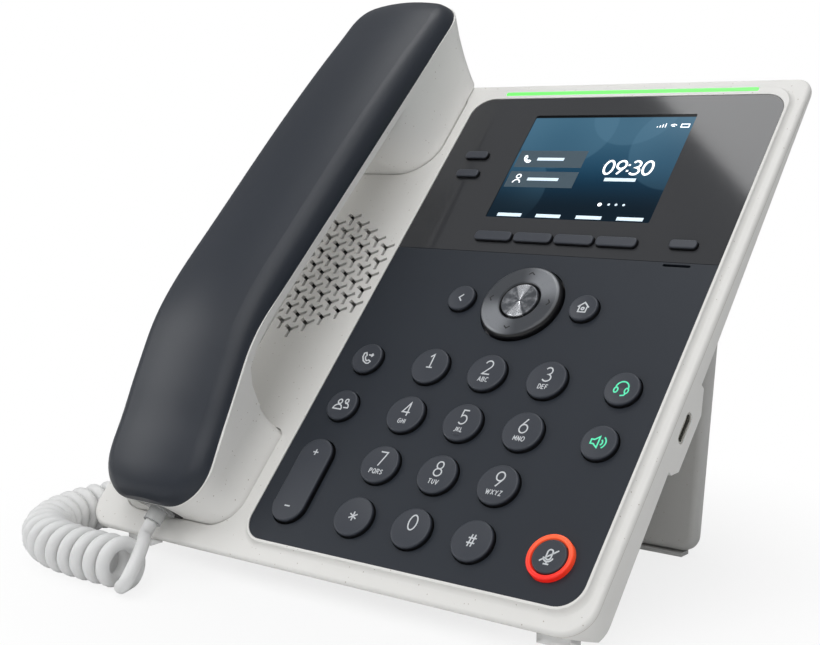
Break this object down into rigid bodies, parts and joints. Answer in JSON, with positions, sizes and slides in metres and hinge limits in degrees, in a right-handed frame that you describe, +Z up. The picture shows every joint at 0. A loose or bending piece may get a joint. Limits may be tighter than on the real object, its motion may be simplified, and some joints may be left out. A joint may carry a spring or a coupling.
{
  "type": "desk telephone",
  "caption": "Desk phone with a sloping keypad and screen panel, a cradle handset on a curly cord, and a folding easel stand behind.",
  "frame": {"origin": "on the desk plane under the middle of the phone's outer box, cord left out", "axes": "+X to the user's right along the panel's width, +Y away from the user, +Z up"},
  "size_m": [0.197, 0.1634, 0.1735],
  "materials": {
    "shell_white": "fine matt grain with sparse dark specks",
    "panel_slate": "matt",
    "window_gloss": "gloss",
    "key_slate": "satin",
    "screen_glass": "gloss, lit from behind",
    "light_green": "lit diffuser",
    "light_red": "lit diffuser",
    "membrane_rubber": "matt",
    "board_green": "solder mask",
    "speaker_black": "matt",
    "socket_black": "matt",
    "socket_steel": "plated",
    "pin_steel": "zinc plated",
    "foot_rubber": "matt",
    "gimbal_black": "matt",
    "nav_satin": "satin lacquer",
    "select_metal": "radial brushed, metal plated",
    "handset_slate": "satin fine grain",
    "ballast_iron": "cast",
    "cord_grey": "satin",
    "plug_clear": "clear moulded"
  },
  "bodies": {
    "base": {"front_housing": "shell_white", "rear_housing": "shell_white", "keypad_panel": "panel_slate", "display_window": "window_gloss", "lcd_module": "screen_glass", "light_bar": "light_green", "keypad_membrane": "membrane_rubber", "main_board": "board_green", "loudspeaker": "speaker_black", "usb_c_socket": "socket_steel", "network_jacks": "socket_black", "audio_jacks": "socket_black", "stand_hinge_pins": "pin_steel", "front_feet": "foot_rubber", "housing_screws": "pin_steel", "mute_ring": "light_red", "cord_coil": "cord_grey", "cord_tail_handset": "cord_grey", "cord_tail_base": "cord_grey", "cord_plug_base": "plug_clear"},
    "stand": {"stand": "shell_white", "stand_feet": "foot_rubber"},
    "handset": {"handset_outer_shell": "handset_slate", "handset_inner_shell": "shell_white", "handset_receiver": "speaker_black", "handset_microphone": "socket_steel", "handset_ballast": "ballast_iron", "handset_jack": "socket_black", "hook_magnet": "pin_steel", "cord_plug_handset": "plug_clear"},
    "volume_rocker": {"volume_rocker": "key_slate"},
    "nav_gimbal": {"nav_gimbal": "gimbal_black"},
    "nav_ring": {"nav_ring": "nav_satin"},
    "key_0": {"key_0": "key_slate"},
    "key_1": {"key_1": "key_slate"},
    "key_2": {"key_2": "key_slate"},
    "key_3": {"key_3": "key_slate"},
    "key_4": {"key_4": "key_slate"},
    "key_5": {"key_5": "key_slate"},
    "key_6": {"key_6": "key_slate"},
    "key_7": {"key_7": "key_slate"},
    "key_8": {"key_8": "key_slate"},
    "key_9": {"key_9": "key_slate"},
    "key_back": {"key_back": "key_slate"},
    "key_conference": {"key_conference": "key_slate"},
    "key_hash": {"key_hash": "key_slate"},
    "key_headset": {"key_headset": "key_slate"},
    "key_home": {"key_home": "key_slate"},
    "key_more": {"key_more": "key_slate"},
    "key_mute": {"key_mute": "key_slate"},
    "key_select": {"key_select": "select_metal"},
    "key_speaker": {"key_speaker": "key_slate"},
    "key_star": {"key_star": "key_slate"},
    "key_transfer": {"key_transfer": "key_slate"},
    "line_key_1": {"line_key_1": "key_slate"},
    "line_key_2": {"line_key_2": "key_slate"},
    "soft_key_1": {"soft_key_1": "key_slate"},
    "soft_key_2": {"soft_key_2": "key_slate"},
    "soft_key_3": {"soft_key_3": "key_slate"},
    "soft_key_4": {"soft_key_4": "key_slate"}
  },
  "joints": [
    {"name": "stand_fold", "type": "hinge", "parent": "base", "child": "stand", "pos_m": [0, 0.05655, 0.11339], "axis": [1, 0, 0], "range_deg": [-28, 0]},
    {"name": "handset_lift", "type": "slide", "parent": "base", "child": "handset", "axis": [0, -0.7278, 0.6858], "range_m": [0, 0.08]},
    {"name": "volume_rock", "type": "hinge", "parent": "base", "child": "volume_rocker", "pos_m": [-0.0137, -0.04129, 0.02531], "axis": [1, 0, 0], "range_deg": [-2.5, 2.5], "stiffness_Nm_per_rad": 0.12},
    {"name": "nav_tilt_up_down", "type": "hinge", "parent": "base", "child": "nav_gimbal", "pos_m": [0.03, 0.00621, 0.0755], "axis": [1, 0, 0], "range_deg": [-2, 2], "stiffness_Nm_per_rad": 0.15},
    {"name": "nav_tilt_left_right", "type": "hinge", "parent": "nav_gimbal", "child": "nav_ring", "pos_m": [0.03, 0.00621, 0.0755], "axis": [0, 0.6858, 0.7278], "range_deg": [-2, 2], "stiffness_Nm_per_rad": 0.15},
    {"name": "key_0_press", "type": "slide", "parent": "base", "child": "key_0", "axis": [0, 0.7278, -0.6858], "range_m": [0, 0.0009], "stiffness_N_per_m": 600},
    {"name": "key_1_press", "type": "slide", "parent": "base", "child": "key_1", "axis": [0, 0.7278, -0.6858], "range_m": [0, 0.0009], "stiffness_N_per_m": 600},
    {"name": "key_2_press", "type": "slide", "parent": "base", "child": "key_2", "axis": [0, 0.7278, -0.6858], "range_m": [0, 0.0009], "stiffness_N_per_m": 600},
    {"name": "key_3_press", "type": "slide", "parent": "base", "child": "key_3", "axis": [0, 0.7278, -0.6858], "range_m": [0, 0.0009], "stiffness_N_per_m": 600},
    {"name": "key_4_press", "type": "slide", "parent": "base", "child": "key_4", "axis": [0, 0.7278, -0.6858], "range_m": [0, 0.0009], "stiffness_N_per_m": 600},
    {"name": "key_5_press", "type": "slide", "parent": "base", "child": "key_5", "axis": [0, 0.7278, -0.6858], "range_m": [0, 0.0009], "stiffness_N_per_m": 600},
    {"name": "key_6_press", "type": "slide", "parent": "base", "child": "key_6", "axis": [0, 0.7278, -0.6858], "range_m": [0, 0.0009], "stiffness_N_per_m": 600},
    {"name": "key_7_press", "type": "slide", "parent": "base", "child": "key_7", "axis": [0, 0.7278, -0.6858], "range_m": [0, 0.0009], "stiffness_N_per_m": 600},
    {"name": "key_8_press", "type": "slide", "parent": "base", "child": "key_8", "axis": [0, 0.7278, -0.6858], "range_m": [0, 0.0009], "stiffness_N_per_m": 600},
    {"name": "key_9_press", "type": "slide", "parent": "base", "child": "key_9", "axis": [0, 0.7278, -0.6858], "range_m": [0, 0.0009], "stiffness_N_per_m": 600},
    {"name": "key_back_press", "type": "slide", "parent": "base", "child": "key_back", "axis": [0, 0.7278, -0.6858], "range_m": [0, 0.0009], "stiffness_N_per_m": 600},
    {"name": "key_conference_press", "type": "slide", "parent": "base", "child": "key_conference", "axis": [0, 0.7278, -0.6858], "range_m": [0, 0.0009], "stiffness_N_per_m": 600},
    {"name": "key_hash_press", "type": "slide", "parent": "base", "child": "key_hash", "axis": [0, 0.7278, -0.6858], "range_m": [0, 0.0009], "stiffness_N_per_m": 600},
    {"name": "key_headset_press", "type": "slide", "parent": "base", "child": "key_headset", "axis": [0, 0.7278, -0.6858], "range_m": [0, 0.0009], "stiffness_N_per_m": 600},
    {"name": "key_home_press", "type": "slide", "parent": "base", "child": "key_home", "axis": [0, 0.7278, -0.6858], "range_m": [0, 0.0009], "stiffness_N_per_m": 600},
    {"name": "key_more_press", "type": "slide", "parent": "base", "child": "key_more", "axis": [0, 0.7278, -0.6858], "range_m": [0, 0.0009], "stiffness_N_per_m": 600},
    {"name": "key_mute_press", "type": "slide", "parent": "base", "child": "key_mute", "axis": [0, 0.7278, -0.6858], "range_m": [0, 0.0009], "stiffness_N_per_m": 600},
    {"name": "key_select_press", "type": "slide", "parent": "nav_ring", "child": "key_select", "axis": [0, 0.7278, -0.6858], "range_m": [0, 0.0009], "stiffness_N_per_m": 600},
    {"name": "key_speaker_press", "type": "slide", "parent": "base", "child": "key_speaker", "axis": [0, 0.7278, -0.6858], "range_m": [0, 0.0009], "stiffness_N_per_m": 600},
    {"name": "key_star_press", "type": "slide", "parent": "base", "child": "key_star", "axis": [0, 0.7278, -0.6858], "range_m": [0, 0.0009], "stiffness_N_per_m": 600},
    {"name": "key_transfer_press", "type": "slide", "parent": "base", "child": "key_transfer", "axis": [0, 0.7278, -0.6858], "range_m": [0, 0.0009], "stiffness_N_per_m": 600},
    {"name": "line_key_1_press", "type": "slide", "parent": "base", "child": "line_key_1", "axis": [0, 0.7278, -0.6858], "range_m": [0, 0.0009], "stiffness_N_per_m": 600},
    {"name": "line_key_2_press", "type": "slide", "parent": "base", "child": "line_key_2", "axis": [0, 0.7278, -0.6858], "range_m": [0, 0.0009], "stiffness_N_per_m": 600},
    {"name": "soft_key_1_press", "type": "slide", "parent": "base", "child": "soft_key_1", "axis": [0, 0.7278, -0.6858], "range_m": [0, 0.0009], "stiffness_N_per_m": 600},
    {"name": "soft_key_2_press", "type": "slide", "parent": "base", "child": "soft_key_2", "axis": [0, 0.7278, -0.6858], "range_m": [0, 0.0009], "stiffness_N_per_m": 600},
    {"name": "soft_key_3_press", "type": "slide", "parent": "base", "child": "soft_key_3", "axis": [0, 0.7278, -0.6858], "range_m": [0, 0.0009], "stiffness_N_per_m": 600},
    {"name": "soft_key_4_press", "type": "slide", "parent": "base", "child": "soft_key_4", "axis": [0, 0.7278, -0.6858], "range_m": [0, 0.0009], "stiffness_N_per_m": 600}
  ]
}
